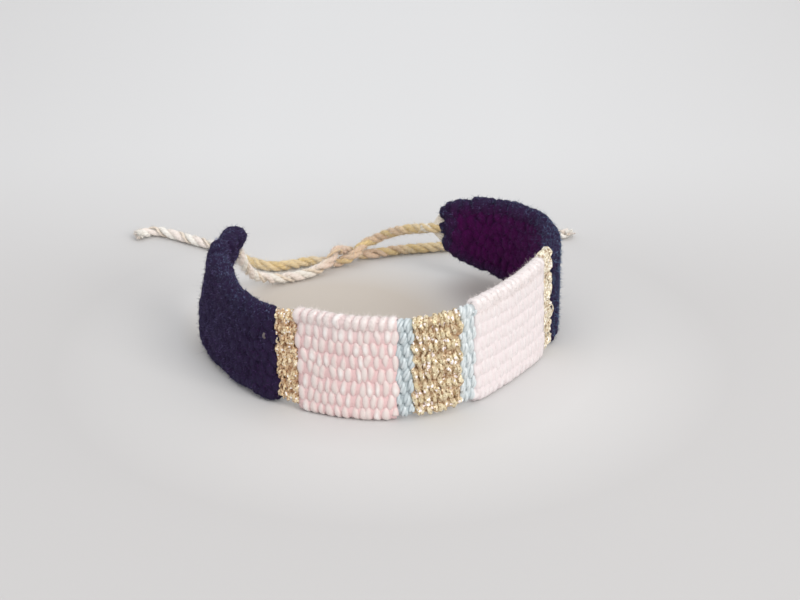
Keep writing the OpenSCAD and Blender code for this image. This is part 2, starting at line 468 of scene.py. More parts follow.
# Two sine waves along each edge, with their turn per mm and their start: it is cut in where they are high
notches = {"low": ((0.8, 1), (1.45, 0)), "high": ((0.9, 2), (1.6, 0))}


def rowsAt(section, s, kit):
    wide, thick, _ = sizeAt(section, s)
    share = place(s)[shareAt]
    pitch = kit["rowPitch"] + (endPitch - kit["rowPitch"]) * float(smooth((1 - share) / endTaper))
    return max(3, min(band["warps"], round(1 + float(wide - thick) / pitch)))


# A smooth random field over the distance along the band and the rows across it
def wander(grid, x, y):
    x, y = np.clip(x, 0, grid.shape[0] - 1.001), np.clip(y, 0, grid.shape[1] - 1.001)
    i, j = x.astype(int), y.astype(int)
    a, b = smooth(x - i), smooth(y - j)
    near = grid[i, j] * (1 - b) + grid[i, j + 1] * b
    far = grid[i + 1, j] * (1 - b) + grid[i + 1, j + 1] * b
    return near * (1 - a) + far * a


# Thin strands twisted round each other inside the room of one weft yarn
plied = dict(
    ringsApart=6,  # rings between two changes of a strand's place
    fill=0.58, limits=(0.6, 1.5), flat=1.15,
    toneStep=0.37,
)


def pliedWeft(mesh, points, across, wide, thick, crest, tone, kit, rng):
    _, side, up = axes(points, across)
    run = walk(points)
    for k in range(kit["strands"]):
        knots = np.arange(0, len(run) + plied["ringsApart"], plied["ringsApart"])
        stray = np.interp(np.arange(len(run)), knots, rng.normal(0, 2 * kit["crumple"], len(knots)))
        angle = 2 * np.pi * (run / kit["lay"] / 3 + k / kit["strands"]) + stray
        crumple = (1 + rng.normal(0, kit["crumple"], len(run))).clip(*plied["limits"])
        radius = plied["fill"] * np.minimum(wide, thick) * crumple
        line = points + ((wide - radius) * np.cos(angle))[:, None] * side
        line = line + ((thick - radius) * np.sin(angle))[:, None] * up
        mesh.lay(line, across, radius * plied["flat"], radius, crest, (tone + plied["toneStep"] * k) % 1)


# The wool is whipped over the band's free end: one round loop for each of three rows
endLoop = dict(
    inside=0.3,  # distance from the end
    radius=0.75, rings=13, crest=0.9, tone=0.5,
    share=0.42,  # half width, as a share of the rows' distance
    reach=dict(navy_end_left=(0.7, 0.7, 0.7), navy_end_right=(0.4, 1.1, 0.9)),
    sunk=0.4,
)


def endWraps(mesh, section, kit):
    atStart = section["name"].endswith("left")
    s = np.full(endLoop["rings"], endLoop["inside"] if atStart else bandLength - endLoop["inside"])
    way = lengthwise(s) * (-1 if atStart else 1)
    wide, thick, _ = sizeAt(section, s)
    turn = np.linspace(-0.5, 0.5, endLoop["rings"]) * np.pi
    reaches = endLoop["reach"][section["name"]]
    apart = (wide - thick) / (len(reaches) - 1)
    out = (thick / 2 - endLoop["radius"]) * np.sin(turn)
    for k, reach in enumerate(reaches):
        h = thick / 2 + apart * k
        points = inBand(section, s, h, out) + (reach * np.cos(turn) - endLoop["sunk"])[:, None] * way
        across = inBand(section, s, h + 1, 0) - inBand(section, s, h, 0)
        mesh.lay(points, across, endLoop["share"] * apart, endLoop["radius"], endLoop["crest"],
                 endLoop["tone"], kit["lobes"], kit["depth"], kit["lay"])


# A thread of the right-hand gold that has worked loose
looseGold = dict(
    s=2.4, h=6.0, tall=2.4, wide=0.8,
    face=0.9, out=0.5,  # how far out its ends and its middle are
    radius=0.11, rings=15, tone=0.1,
)


def looseLoop(mesh, section, start, kit):
    turn = np.linspace(0, np.pi, kit["rings"])
    s = start + kit["s"] + kit["wide"] * np.sin(turn)
    h = kit["h"] + kit["tall"] * (1 - np.cos(turn)) / 2
    out = kit["face"] + kit["out"] * np.sin(turn)
    mesh.lay(inBand(section, s, h, out), lengthwise(s), kit["radius"], kit["radius"], 1, kit["tone"])


# Straight filling behind the grains, so that no light comes through the weave
filling = dict(
    gap=0.02, end=0.4,  # distances from the next section and the band's end
    step=0.8,
    outer=(0.7, 0.88),  # share of the half height at the two edges, and its limit
    lowest=0.9, goldCrest=0.4, tone=0.3,
)


def layFilling(mesh, section, start, stop, kit):
    first, final = max(start + filling["gap"], filling["end"]), min(stop - filling["gap"], lastPick)
    s = np.linspace(first, final, max(3, round((stop - start) / filling["step"])))
    wide, thick, _ = sizeAt(section, s)
    rim = np.minimum(wide / 2, np.minimum(s, bandLength - s))
    crest = filling["goldCrest"] if section["name"].startswith("gold") else 0
    last = band["warps"] - 1
    for j in range(band["warps"]):
        tall = kit["core"][0]
        h = thick / 2 + (wide - thick) * j / last
        if j in (0, last):  # the outer two stay inside the edges
            share, limit = filling["outer"]
            outer = min(share * tall, limit)
            tall = (tall + outer) / 2
            h = h + (tall - outer) * (1 if j == 0 else -1)
        points = inBand(section, s, h, 0)
        points[:, 2] = np.maximum(points[:, 2], filling["lowest"])
        mesh.lay(points, upright(len(s)), tall, kit["core"][1] * thick / 2, crest, filling["tone"], rim=rim)


# One pass of the weft and its turn at the edge: the level among the rows, the wave over and under them,
# how far the turn bulges out, and how far it has gone towards the next pass
def onePass(rows, samples, stray, over, climbing):
    turnRings = weaving["turnRings"]
    phase = np.linspace(0, rows - 1, (rows - 1) * samples + 1)
    waves = over * np.cos(np.pi * (phase + stray * np.sin(np.pi * phase / (rows - 1))))
    bend = np.arange(1, turnRings + 1) / (turnRings + 1)
    bulge = np.sin(np.pi * bend)
    if not climbing:
        phase, waves, bulge = phase[::-1], waves[::-1], -bulge
    flat = 0 * phase
    turn = [np.full(turnRings, phase[-1]), waves[-1] * np.cos(np.pi * bend), bulge, smooth(bend)]
    return np.concatenate([[phase, waves, flat, flat], turn], axis=1)


# How deep an edge is notched at a distance s along the band
def notchAt(s, edge):
    (turn, begins), (turnTwo, beginsTwo) = notches[edge]
    return (np.sin(turn * s + begins) + 0.5 * np.sin(turnTwo * s + beginsTwo)).clip(0)


def weaveSection(index, kit, passesBefore, seed):
    section = sections[index]
    rng = np.random.default_rng(seed)
    start, stop = starts[index], starts[index + 1]
    count = round((stop - start) / kit["pick"])
    pitch = (stop - start) / count
    nextSlant = sections[index + 1]["slant"] if index + 1 < len(sections) else 0
    fieldStep = weaving["fieldStep"]
    fields = rng.normal(0, kit["drift"], (2, int((stop - start) / fieldStep) + 3, band["warps"] + 1))
    laid = []
    for i in range(count):
        middle = start + (i + 0.5) * pitch
        rows = rowsAt(section, middle, kit)
        jitter = rng.normal(0, kit["uneven"], (5, rows)).clip(-2 * kit["uneven"], 2 * kit["uneven"])
        over = 1 if (i + passesBefore) % 2 == 0 else -1
        stray = rng.normal(0, kit["stagger"])
        course = onePass(rows, kit["samples"], stray, over, i % 2 == 0)
        if i == count - 1:  # the last pass ends at the edge, with no turn
            course = course[:, : -weaving["turnRings"]]
        levels, waves, rises, gone = course
        shifts, widths, depths, heights, leans = (np.interp(levels, np.arange(rows), own) for own in jitter)
        up = levels / (rows - 1)
        s = middle + gone * pitch + weaving["shift"] * pitch * shifts
        slant = section["slant"] + (nextSlant - section["slant"]) * (s - start) / (stop - start)
        lean = section["lean"] + weaving["lean"] * leans
        leaning = np.sin(2 * np.pi * levels) - weaving["leanSharp"] * np.sin(4 * np.pi * levels)
        s = s + slant * (1 - 2 * up) + lean * leaning * (rises == 0)
        fromEnds = np.minimum(s - start, stop - s).clip(0)
        drift = wander(fields[0], (s - start) / fieldStep, levels)
        s = s + drift * np.minimum(1, fromEnds / weaving["calm"])
        s = np.clip(s, max(firstPick, start + kit["inset"]), min(lastPick, stop - kit["inset"]))
        wide, thick, _ = sizeAt(section, s)
        half = thick / 2
        on = np.where(rises != 0, 1, np.abs(waves))
        halfThick = half * (kit["diveThick"] + (kit["crestThick"] - kit["diveThick"]) * on)
        halfWide = kit["diveWide"] + (kit["crestWide"] - kit["diveWide"]) * on
        halfWide = halfWide * (1 + widths) * (1 - weaving["turnThin"] * np.abs(rises))
        reach = half * (1 - kit["crestThick"]) * (1 + weaving["sink"] * np.minimum(0, depths))
        swing = waves * (1 + weaving["flat"] - weaving["flat"] * waves**2)
        h = half + (wide - thick) * levels / (rows - 1) + reach * rises * (1 + jitter[3].mean())
        drift = weaving["rise"] * heights + wander(fields[1], (s - start) / fieldStep, levels)
        h = h + drift * np.minimum(levels, rows - 1 - levels).clip(0, 1)
        h = h + kit["notch"] * (notchAt(s, "low") * (1 - up) ** 4 - notchAt(s, "high") * up**4)
        tone = rng.uniform(0, 1, rows)[np.round(levels).astype(int)]
        laid.append((s, h, reach * swing, halfWide, halfThick, on, tone))
    s, h, out, wide, thick, crest, tone = (np.concatenate(values) for values in zip(*laid))
    # Painted light: on the sections that face the lamp the hollows take less of the deep colour
    crest = section["pale"] + (1 - section["pale"]) * crest
    points = inBand(section, s, h, out)
    points[:, 2] = np.maximum(points[:, 2], weaving["lowest"])
    across = lengthwise(s)
    mesh = YarnMesh(kit["sides"])
    if kit["strands"] == 1:
        tall, deep, _ = sizeAt(section, s)
        core = inBand(section, s, np.clip(h, deep / 2, tall - deep / 2), 0)
        rim = np.minimum(np.minimum(h, tall - h), np.minimum(s, bandLength - s)).clip(0)
        mesh.lay(points, across, wide, thick, crest, tone, kit["lobes"], kit["depth"], kit["lay"], core, rim)
    else:
        pliedWeft(mesh, points, across, wide, thick, crest, tone, kit, rng)
    layFilling(mesh, section, start, stop, kit)
    if section["yarn"] == "wool":
        endWraps(mesh, section, kit)
    if section["name"] == "gold_stripe_right":
        looseLoop(mesh, section, start, looseGold)
    piece = mesh.build("weave_" + section["name"], rounded=not section["name"].startswith("gold"))
    return piece, mesh, passesBefore + count


weftKits = {
    "navy": woolWeft, "gold": foilWeft, "gold_centre": goldWeft,
    "pink": cottonWeft, "pink_panel_right": paleWeft, "blue": blueWeft,
}
weaves = {}
passes = 0
for index, section in enumerate(sections):
    kit = weftKits.get(section["name"], weftKits[section["name"].split("_")[0]])
    piece, mesh, passes = weaveSection(index, kit, passes, 20 + index)
    weaves[section["name"]] = (piece, mesh)
    print("wove", section["name"], len(piece.data.polygons), "faces")

# Warps: straight yarns inside the weave, gathered into the cords at both ends

warpYarn = dict(
    radius=0.40, step=0.8, gold=0.3,
    plies=dict(lobes=3, depth=0.2, pitch=1.1),
    end=0.2,  # distance from the band's end
    fan=4.2,  # how far along the cord they have gathered
    gather=0.55, rings=9,
    bow=(0.36, 0.45),  # how strongly a yarn keeps its way at the band and at the cord
    # The warps are painted dark, a painted shade, over the span given on the next line
    navyShade=(1, 0.5),  # dark from this far inside the band's end to this far short of the wool's end
)
# A pale stitch in the navy, painted mostly in the warps' dark navy colour, a painted shade
fleck = dict(
    s=37.3, h=12.6, half=0.45, out=1.7, bow=0.3,
    radius=0.18, rings=7, gold=0.2, tone=2.85,
)


def warpLine(j, kit):
    s = np.arange(kit["end"], bandLength - kit["end"], kit["step"])
    which = np.clip(np.searchsorted(starts, s, side="right") - 1, 0, len(sections) - 1)
    points = np.zeros((len(s), 3))
    for index, section in enumerate(sections):
        mine = which == index
        wide, thick, _ = sizeAt(section, s[mine])
        h = thick / 2 + (wide - thick) * j / (band["warps"] - 1)
        points[mine] = inBand(section, s[mine], h, 0)
    return points


def warpFan(tip, way, side, j, kit):
    line = tiePieces[side][1]
    stop = int(np.searchsorted(walk(line), kit["fan"]))
    ahead = unit(line[stop + 1] - line[stop])
    angle = 2 * np.pi * j / band["warps"]
    flat = unit(np.cross(ahead, (0, 0, 1)))
    goal = line[stop] + kit["gather"] * (math.cos(angle) * flat + math.sin(angle) * np.cross(flat, ahead))
    pull = np.linalg.norm(goal - tip)
    t = np.linspace(0, 1, kit["rings"])[1:, None]
    b, c = tip + way * pull * kit["bow"][0], goal - ahead * pull * kit["bow"][1]
    return (1 - t) ** 3 * tip + 3 * t * (1 - t) ** 2 * b + 3 * t**2 * (1 - t) * c + t**3 * goal


warpMesh = YarnMesh(8)
for j in range(band["warps"]):
    line = warpLine(j, warpYarn)
    left = warpFan(line[0], unit(line[0] - line[2]), "left", j, warpYarn)[::-1]
    right = warpFan(line[-1], unit(line[-1] - line[-3]), "right", j, warpYarn)
    line = np.concatenate([left, line, right])
    _, across = carried(line, (0, 0, 1))
    run = np.arange(-len(left), len(line) - len(left)) * warpYarn["step"]
    inside, short = warpYarn["navyShade"]
    inNavy = (run < starts[1] - short) | (run > starts[-2] + short)
    tone = np.where(inNavy & (run > inside) & (run < bandLength - inside), 3, 0.2 * (j % 3))
    radius = warpYarn["radius"]
    warpMesh.lay(line, across, radius, radius, warpYarn["gold"], tone, **warpYarn["plies"])
t = np.linspace(-1, 1, fleck["rings"])
s = np.full(fleck["rings"], fleck["s"])
line = inBand(sections[0], s, fleck["h"] + fleck["half"] * t, fleck["out"] - fleck["bow"] * t * t)
warpMesh.lay(line, lengthwise(s), fleck["radius"], fleck["radius"], fleck["gold"], fleck["tone"])
warps = warpMesh.build("warp_yarns")
print("warps laid")
tufts = {}
for side, seed in (("left", 44), ("right", 45)):
    tufts[side] = frayedEnd("tie_tuft_" + side, tiePieces[side][1], tieTuft, seed)

# Fuzz: a nap of short straight fibres, and a few long ones that bend

# above is how far a face stands out of the cloth at least, to carry any
woolNap = dict(count=42500, length=(0.35, 0.85), radius=0.044, spread=0.8, curl=0.5, stops=(0,), above=0.4)
woolHair = dict(count=500, length=(0.6, 2.0), radius=0.016, spread=0.6, curl=1.0, stops=(0, 0.45), above=0.9)
cordNap = dict(woolNap, count=10500, length=(0.2, 1.2), radius=0.024, spread=0.9)
cordHair = dict(woolHair, length=(0.5, 1.6), radius=0.018, spread=0.8)
fanNap = dict(woolNap, count=1500, length=(0.3, 1.0), radius=0.020, curl=0.3)
cottonNap = dict(woolNap, count=17000, length=(0.12, 0.5), radius=0.030, spread=0.9, above=0.5)
cottonEdge = dict(cottonNap, count=5000, length=(0.2, 1.0), radius=0.026)
fibre = dict(sunk=0.05, lowest=0.03, rimStray=0.3, around=(0, 2.094, 4.189))  # three corners
# The redder tint of painted shade shows in the right half of the loop, on what faces inwards and is well
# inside the rim
shadeTintZone = dict(right=12, rim=5, front=0.6, begins=0.4, stray=0.2, fade=(0.45, 20, 6))
# Painted light: the outside of the right end takes this much of the rim's pale fringe colour
litOutside = 0.93  # how far the outside there is as pale as the rim


# weight says how thickly each face of the yarn is covered, and second how far each takes the second colour
def fuzz(name, mesh, weight, kit, seed, second=None):
    rng = np.random.default_rng(seed)
    count = kit["count"]
    corners = mesh.quadCorners
    weight = weight * np.linalg.norm(quadOut(corners), axis=1)
    chosen = rng.choice(len(weight), count, p=weight / weight.sum())
    quad = corners[chosen]
    u, v = rng.uniform(0, 1, (2, count, 1))
    root = (quad[:, 0] * (1 - u) + quad[:, 1] * u) * (1 - v) + (quad[:, 3] * (1 - u) + quad[:, 2] * u) * v
    normal = unit(quadOut(quad))
    shortest, longest = kit["length"]
    length = shortest + (longest - shortest) * rng.uniform(0, 1, (count, 1)) ** 2
    way = unit(normal + rng.normal(0, kit["spread"], root.shape))
    bend = rng.normal(0, kit["curl"], root.shape)
    root = root - normal * fibre["sunk"]
    flat = unit(np.cross(way, rng.normal(0, 1, root.shape)))
    rise = np.cross(way, flat)
    rings = []
    for t in kit["stops"]:
        centre = root + length * (way * t + bend * t * t * 0.5)
        radius = kit["radius"] * (1 - 0.5 * t)
        rings.append(np.stack([centre + radius * (math.cos(a) * flat + math.sin(a) * rise)
                               for a in fibre["around"]], 1))
    tip = root + length * (way + bend * 0.5)
    points = np.concatenate([*rings, tip[:, None]], 1)
    points[..., 2] = np.maximum(points[..., 2], fibre["lowest"])
    each = points.shape[1]
    last = each - 4
    pattern = [(0, 2, 1)]
    for ring in range(0, last, 3):
        for k in range(3):
            a, b = ring + k, ring + (k + 1) % 3
            pattern += [(a, b, b + 3), (a, b + 3, a + 3)]
    pattern += [(last + k, last + (k + 1) % 3, each - 1) for k in range(3)]
    faces = (np.array(pattern)[None] + each * np.arange(count)[:, None, None]).reshape(-1, 3)
    data = newMesh(name, points.reshape(-1, 3), faces.tolist())
    rim = mesh.quadRim[chosen] + rng.normal(0, fibre["rimStray"], count)
    outward = np.sum(normal[:, :2] * unit(root[:, :2]), 1) * smooth(root[:, 0] / shadeTintZone["right"])
    # On the wool: the share of the redder painted shade tint inside the right end, and a lower rim on the
    # outward faces of the right end so that they take the rim's painted light. On the cords: the gold share
    if second is None:
        stray = rng.normal(0, shadeTintZone["stray"], count)
        deep = rim / shadeTintZone["rim"] - shadeTintZone["front"] * normal[:, 1] - shadeTintZone["begins"] + stray
        fade, begins, over = shadeTintZone["fade"]
        shadeTintAndGold = -outward.clip(-1, 0) * smooth(deep)
        shadeTintAndGold = shadeTintAndGold * (1 - fade * smooth((root[:, 0] - begins) / over))
        rim = rim * (1 - litOutside * outward.clip(0, 1))
    else:
        shadeTintAndGold = second[chosen]
    for title, values in (("shadeTintAndGold", shadeTintAndGold), ("rim", rim), ("tone", rng.uniform(0, 1, count))):
        addField(data, title, np.repeat(values, each))
    return addPiece(name, data)


edgeHeight = 16  # the cotton's upper edge is above this
fuzzPieces = {}


def grow(name, *how):
    fuzzPieces[name] = fuzz(name, *how)


for k, side in enumerate(("left", "right")):
    mesh = weaves["navy_end_" + side][1]
    grow("wool_nap_" + side, mesh, mesh.quadAway > woolNap["above"], woolNap, 60 + k)
    grow("wool_hair_" + side, mesh, mesh.quadAway > woolHair["above"], woolHair, 65 + k)
    mesh = tiePieces[side][3]
    whole = np.ones(len(mesh.quadCrest))
    grow("cord_nap_" + side, mesh, whole, cordNap, 70 + k, mesh.quadCrest)
    grow("cord_hair_" + side, mesh, whole, cordHair, 75 + k, mesh.quadCrest)
    mesh = weaves["pink_panel_" + side][1]
    outside = mesh.quadAway > cottonNap["above"]
    atEdge = mesh.quadCorners[..., 2].mean(1) > edgeHeight
    grow("pink_nap_" + side, mesh, outside, cottonNap, 80 + k)
    grow("pink_edge_" + side, mesh, outside * atEdge, cottonEdge, 83 + k)
    mesh = tufts[side][1]
    grow("fan_tuft_" + side, mesh, mesh.quadCrest >= 0, fanNap, 85 + k)
grow("fan_nap", warpMesh, warpMesh.quadTone < 0.1, fanNap, 90)
print("fuzz grown")

# Shader maths


def operator(operation, swapped=False):
    def act(wire, other):
        first, second = (other, wire) if swapped else (wire, other)
        return wire.finish.add("Math", {0: first, 1: second}, operation=operation)
    return act


class Wire:
    def __init__(self, finish, socket):
        self.finish, self.socket = finish, socket

    def math(self, operation, *others):
        return self.finish.add("Math", dict(enumerate((self, *others))), operation=operation)

    __add__ = __radd__ = operator("ADD")
    __mul__ = __rmul__ = operator("MULTIPLY")
    __sub__, __rsub__ = operator("SUBTRACT"), operator("SUBTRACT", swapped=True)
    __pow__ = operator("POWER")
    __gt__ = operator("GREATER_THAN")


class Finish:
    def __init__(self, name, colour):
        self.colour = colour
        self.material = bpy.data.materials.new(name)
        self.material.use_nodes = True
        self.tree = self.material.node_tree
        self.tree.nodes.clear()
        self.where = self.add("TexCoord", out="Object")

    def add(self, kind, inputs=None, out=0, **settings):
        node = self.tree.nodes.new("ShaderNode" + kind)
        for key, value in settings.items():
            setattr(node, key, value)
        for key, value in (inputs or {}).items():
            if isinstance(value, Wire):
                self.tree.links.new(value.socket, node.inputs[key])
            else:
                node.inputs[key].default_value = value
        return Wire(self, node.outputs[out])

    def field(self, name):
        return self.add("Attribute", out="Fac", attribute_name=name)

    def axis(self, k, of=None):
        return self.add("SeparateXYZ", {0: of or self.where}, k)

    # 0 to 1 while value goes from low to high, evenly, and with a soft start and end
    def ramp(self, value, low, high):
        return self.add("MapRange", {0: value, 1: low, 2: high})

    def fade(self, value, low, high):
        return self.add("MapRange", {0: value, 1: low, 2: high}, interpolation_type="SMOOTHSTEP")

    def vector(self, operation, *inputs, out=0):
        return self.add("VectorMath", dict(enumerate(inputs)), out, operation=operation)

    def scaled(self, vector, share):
        return self.add("VectorMath", {0: vector, "Scale": share}, operation="SCALE")

    def blend(self, share, first, second):
        first, second = (c if isinstance(c, Wire) else (*c, 1) for c in (first, second))
        return self.add("Mix", {0: share, 6: first, 7: second}, 2, data_type="RGBA")

    # Lays another colour over the one so far
    def over(self, share, colour):
        self.colour = self.blend(share, self.colour, colour)

    def noise(self, scale, detail=2, where=None):
        return self.add("TexNoise", {"Vector": where or self.where, "Scale": scale, "Detail": detail})

    # Gives v, which runs round the yarn, the ridge of each ply, and noise drawn out along the plies
    def yarn(self, plies, lay, grain, detail):
        uv = self.add("UVMap", uv_map="yarn")
        u, v = self.axis(0, uv) * yarnUnit, self.axis(1, uv)
        twist = v * plies + u * (1 / lay)
        drawn = self.add("CombineXYZ", {0: u * 0.9, 1: twist * 7, 2: u * 0.05})
        return v, (twist * math.pi).math("SINE").math("ABSOLUTE"), self.noise(grain, detail, drawn)

    def surface(self, bump=None, bumpDepth=0, **sockets):
        if bump:
            height = {"Height": bump, "Distance": bumpDepth * mm, "Strength": 1}
            sockets["Normal"] = self.add("Bump", height)
        sockets["Base_Color"] = self.colour
        inputs = {key.replace("_", " "): value for key, value in sockets.items()}
        shader = self.add("BsdfPrincipled", inputs)
        end = self.tree.nodes.new("ShaderNodeOutputMaterial")
        self.tree.links.new(shader.socket, end.inputs["Surface"])
        return self.material


# Where colours, painted shade and painted light change on the bracelet: each goes from the first place to
# the second, in metres
upperEdge = 13 * mm, 17.5 * mm
rightHalf = 0, 12 * mm
leftFront = -30 * mm, -19 * mm
nearFoot = 13 * mm, 5 * mm
rightOutside = 22 * mm, 31 * mm
cordsPass = 10 * mm, 5 * mm  # counted from passMiddle
passMiddle = -3.5 * mm


# The last four arguments: slim narrows the light tops, the next gives some of them a painted white
# highlight, line paints shade into the gaps, and the last lightens the top edge
def satinCotton(name, light, deep, gleam, slim=2.2, highlightTips=0, line=0, paleTop=0):
    f = Finish(name, deep)
    v, ridge, hair = f.yarn(plies=3, lay=1.6, grain=2.2, detail=3)
    crest, tone = f.field("crest"), f.field("tone")
    flank = (v * 2 * math.pi).math("COSINE").math("ABSOLUTE")
    # The deep colour stays in the hollows and on the flanks, a painted shade, and some grains are paler, a
    # painted sheen
    share = f.ramp(crest, 0, 0.8) * (hair * 0.5 + 0.75) * (1 - flank**slim * 0.9)
    f.over(share.math("MINIMUM", 1), f.blend(tone * 0.45, light, gleam))
    f.over(flank**7 * line, tuple(0.8 * c for c in deep))
    f.over(f.fade(f.axis(2), *upperEdge) * paleTop, (0.84, 0.79, 0.77))
    # Painted highlight: a near-white spot on the tops of some grains
    f.over((tone > 0.8) * f.fade(crest - flank * 0.4, 0.70, 0.95) * highlightTips, (0.93, 0.90, 0.88))
    return f.surface(ridge * 0.4 + hair * 0.9, 0.07, Roughness=hair * 0.4 + 0.2, Specular_IOR_Level=0.7,
                     Coat_Weight=f.ramp(tone, 0.4, 0.7), Coat_Roughness=0.14, Sheen_Weight=0.1)


# Metallic thread: fine cells tilt the normal and paint brighter and darker facets, painted reflections; the
# dives take the deep brown, partly the core's own colour and partly painted shade; and some of the larger
# cells carry a painted near-white glint
def lurex(name, bright, dark, deep, glint, cells):
    f = Finish(name, bright)
    fine, broad, near = (f.add("TexVoronoi", {"Vector": f.where, "Scale": scale}, out)
                         for scale, out in ((4200, "Color"), (cells, "Color"), (cells, "Distance")))
    pick, other = f.add("SeparateColor", {0: broad}, 0), f.add("SeparateColor", {0: fine}, 1)
    paintedGlint = (pick > 0.82) * f.fade(near, 0.54, 0.40)
    # Painted reflections: brighter and darker facets and dark specks; then the deep brown in the dives, and
    # the painted glints
    f.over(other * 0.6 + f.field("tone") * 0.4, dark)
    f.over((other > 0.82) * 0.8, deep)
    f.over((1 - f.field("crest")) * 0.9, deep)
    f.over(paintedGlint, glint)
    normal = f.add("NewGeometry", out="Normal")
    tilt = f.scaled(f.vector("SUBTRACT", fine, (0.5, 0.5, 0.5)), 0.8)
    return f.surface(Metallic=0.35 - paintedGlint * 0.35, Roughness=pick * 0.25 + 0.3,
                     Normal=f.vector("NORMALIZE", f.vector("ADD", normal, tilt)))


# The wool is lighter on its crests and deeper in its valleys, a painted shade. Inside the right end, on the
# side that faces the middle of the loop, it takes a redder tint, a painted shade tint
def wool(name, light, deep, shadeTintAndGold):
    f = Finish(name, deep)
    _, _, hair = f.yarn(plies=2, lay=2.2, grain=2.6, detail=5)
    normal = f.add("NewGeometry", out="Normal")
    outward = f.vector("NORMALIZE", f.vector("MULTIPLY", f.where, (1, 1, 0)))
    facing = f.vector("DOT_PRODUCT", normal, outward, out="Value")
    shadeTintPlace = f.fade(f.axis(0), *rightHalf) * f.fade(f.field("rim"), 0, 3.5)
    f.over(((f.field("crest") * 0.4 + 0.6) * hair * 1.6).math("MINIMUM", 1), light)
    f.over(f.noise(300) * 0.4, deep)
    # Painted shade: a redder tint on the inward side of the right end
    f.over((facing * -1).math("MAXIMUM", 0) * shadeTintPlace, shadeTintAndGold)
    return f.surface(hair, 0.4, Roughness=0.95, Specular_IOR_Level=0.1, Sheen_Weight=0.06,
                     Sheen_Roughness=0.4, Sheen_Tint=(0.45, 0.55, 0.95, 1))


# uneven is how much one fibre or patch differs in brightness from the next
def lintFinish(name, colour, pale, shade, shadeTintAndGold, litFringe, uneven=0, tealLight=None):
    f = Finish(name, colour)
    cloud = f.ramp(f.noise(1100, 3), 0.35, 0.65)
    # Painted shade: the shade colour in the front corner of the left end, near its foot
    shadedCorner = f.fade(f.axis(0), *leftFront) * f.fade(f.axis(2), *nearFoot)
    f.over(f.ramp(f.noise(160), 0.35, 0.7), shade)
    f.over(shadedCorner * 0.9, shade)
    f.over(cloud * (0.5 - shadedCorner * 0.32), pale)
    # Painted light: a teal tint on the outside of the right end
    if tealLight:
        f.over(f.fade(f.axis(0), *rightOutside) * 0.6, tealLight)
    # Painted shade: a redder tint inside the right end on the wool; on the cords this same mark lays the
    # real gold
    f.over((f.field("shadeTintAndGold") * (1.7 - cloud)).math("MINIMUM", 1), shadeTintAndGold)
    # Painted light: a pale fringe on the fibres near the rim
    f.over((1 - f.ramp(f.field("rim"), 0, 2)) * 0.75, litFringe)
    f.colour = f.scaled(f.colour, (cloud + f.field("tone") ** 2 * 1.5 - 1) * uneven + 1)
    return f.surface(Roughness=0.9, Specular_IOR_Level=0.1)


# A strand's tone is 0 for cream, 1 for blush, 2 for gold and 3 where it runs inside the navy and is painted
# dark, a painted shade, and its crest says how much gold shows. The strands are rosier where the two cords
# pass each other.
def cordCotton(name, cream, blush, rose, gold, navyShade):
    f = Finish(name, cream)
    _, ridge, hair = f.yarn(plies=3, lay=1.1, grain=1.6, detail=3)
    tone, golden = f.field("tone"), f.field("crest")
    isGold = tone > 1.5
    off = (f.axis(0) - passMiddle).math("ABSOLUTE")
    f.over(tone > 0.5, blush)
    f.over(golden * 0.88, gold)
    f.over(f.fade(off, *cordsPass) * 0.7, rose)
    f.over(isGold * (golden * 0.75 + 0.25), gold)
    f.over((1 - ridge) * 0.2 * (golden * 0.8 + 0.2), gold)
    # Painted shade: the warps inside the navy, and most of the pale stitch there, are painted dark
    f.over((tone - 2).math("MAXIMUM", 0), navyShade)
    return f.surface(ridge + hair * 0.6, 0.1, Roughness=hair * 0.2 + 0.5, Metallic=isGold * golden * 0.4,
                     Specular_IOR_Level=0.4, Sheen_Weight=0.2)


# Pale all over, with a painted warm bounce in the middle of the loop, painted light round it and at the
# back, and a painted shadow under the right end. Each round zone has its centre, then the two distances
# between which its colour changes, as the other two have.
floorZones = {"warmBounce": ((-8, 8, 0), 16, 28), "near": ((2, -3, 0), 36, 58), "paintedShadow": ((20, 22, 0), 12, 2)}
floorAside = 30 * mm, 120 * mm
floorBehind = 10 * mm, 100 * mm


def floorFinish(name, warmBounce, near, plain, litBack, paintedShadow):
    f = Finish(name, warmBounce)

    def far(zone):
        centre, begins, ends = floorZones[zone]
        away = f.vector("DISTANCE", f.where, tuple(x * mm for x in centre), out="Value")
        return away, begins * mm, ends * mm

    # Painted light: a warm bounce inside the loop, a lighter floor round the band and at the back; and a
    # painted shadow under the right end
    f.over(f.ramp(*far("warmBounce")), near)
    f.over(f.ramp(*far("near")), plain)
    f.over(f.fade(*far("paintedShadow")), paintedShadow)
    aside = f.ramp(f.axis(0).math("ABSOLUTE"), *floorAside)
    f.over(f.fade(f.axis(1), *floorBehind) * (1 - aside * 0.6), litBack)
    return f.surface(Roughness=0.9)


